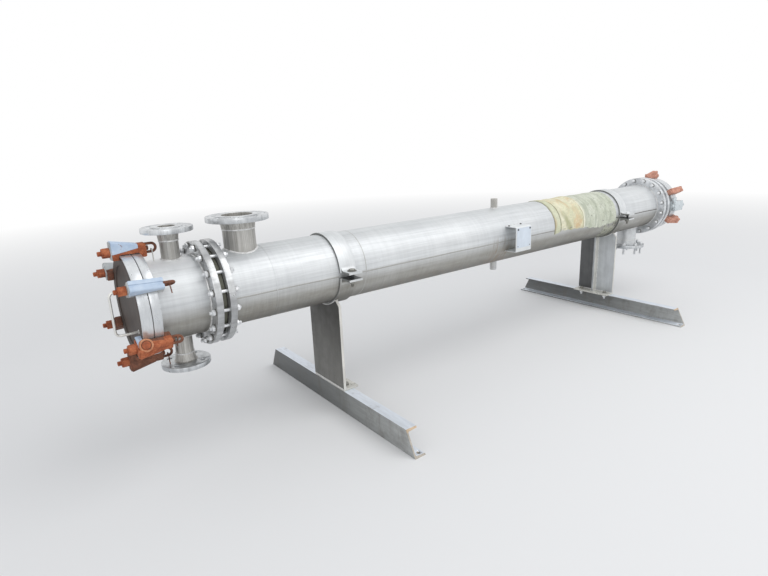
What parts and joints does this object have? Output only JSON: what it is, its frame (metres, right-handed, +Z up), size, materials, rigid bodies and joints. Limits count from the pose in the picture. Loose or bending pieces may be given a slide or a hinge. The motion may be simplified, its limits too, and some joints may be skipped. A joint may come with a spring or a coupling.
{
  "type": "shell and tube heat exchanger",
  "caption": "Horizontal shell and tube heat exchanger with flanged nozzles and clamped end covers, strapped on two narrow legs that stand on steel channels.",
  "frame": {"origin": "on the floor under the shell axis, halfway between the two end covers", "axes": "+X along the shell from the channel end to the return end, +Y across the shell toward the back, +Z up"},
  "size_m": [3.477, 1.12, 0.849],
  "materials": {
    "shell_steel": "dull stainless pipe with weld and handling marks",
    "machined_steel": "bright machined stainless steel",
    "dull_steel": "dull dark grey steel",
    "tube_steel": "drawn steel tube",
    "leg_steel": "mill finish steel plate",
    "base_steel": "scratched stainless channel",
    "clamp_blue": "worn light blue paint",
    "clamp_rust": "rusty bare steel",
    "handle_rod": "bright round bar",
    "plate_metal": "plain pale sheet, bare"
  },
  "bodies": {
    "root": {"shell_barrel": "shell_steel", "shell_top_nozzle": "machined_steel", "shell_bottom_nozzle": "machined_steel", "near_shell_flange": "machined_steel", "near_tubesheet": "dull_steel", "channel_flange": "machined_steel", "channel_barrel": "shell_steel", "channel_top_nozzle": "machined_steel", "channel_bottom_nozzle": "machined_steel", "channel_end_flange": "machined_steel", "channel_cover": "dull_steel", "channel_handle": "handle_rod", "channel_blue_clamps": "clamp_blue", "channel_rusty_clamps": "clamp_rust", "channel_clamp_screws": "clamp_rust", "pass_partition": "dull_steel", "tube_bundle": "tube_steel", "far_shell_flange": "machined_steel", "far_tubesheet": "dull_steel", "return_flange": "machined_steel", "return_barrel": "shell_steel", "return_end_flange": "machined_steel", "return_cover": "dull_steel", "return_handle": "handle_rod", "return_clamps": "clamp_rust", "return_pale_clamp": "clamp_blue", "return_clamp_screws": "clamp_rust", "near_upper_strap": "shell_steel", "near_lower_strap": "shell_steel", "near_leg_plate": "leg_steel", "near_leg_rib": "leg_steel", "near_foot_plate": "base_steel", "near_base_channel": "base_steel", "far_upper_strap": "shell_steel", "far_lower_strap": "shell_steel", "far_leg_plate": "leg_steel", "far_leg_rib": "leg_steel", "far_foot_plate": "base_steel", "far_base_channel": "base_steel", "vent_coupling": "shell_steel", "drain_coupling": "shell_steel", "plate_bracket": "machined_steel", "data_plate": "plate_metal"}
  },
  "joints": []
}
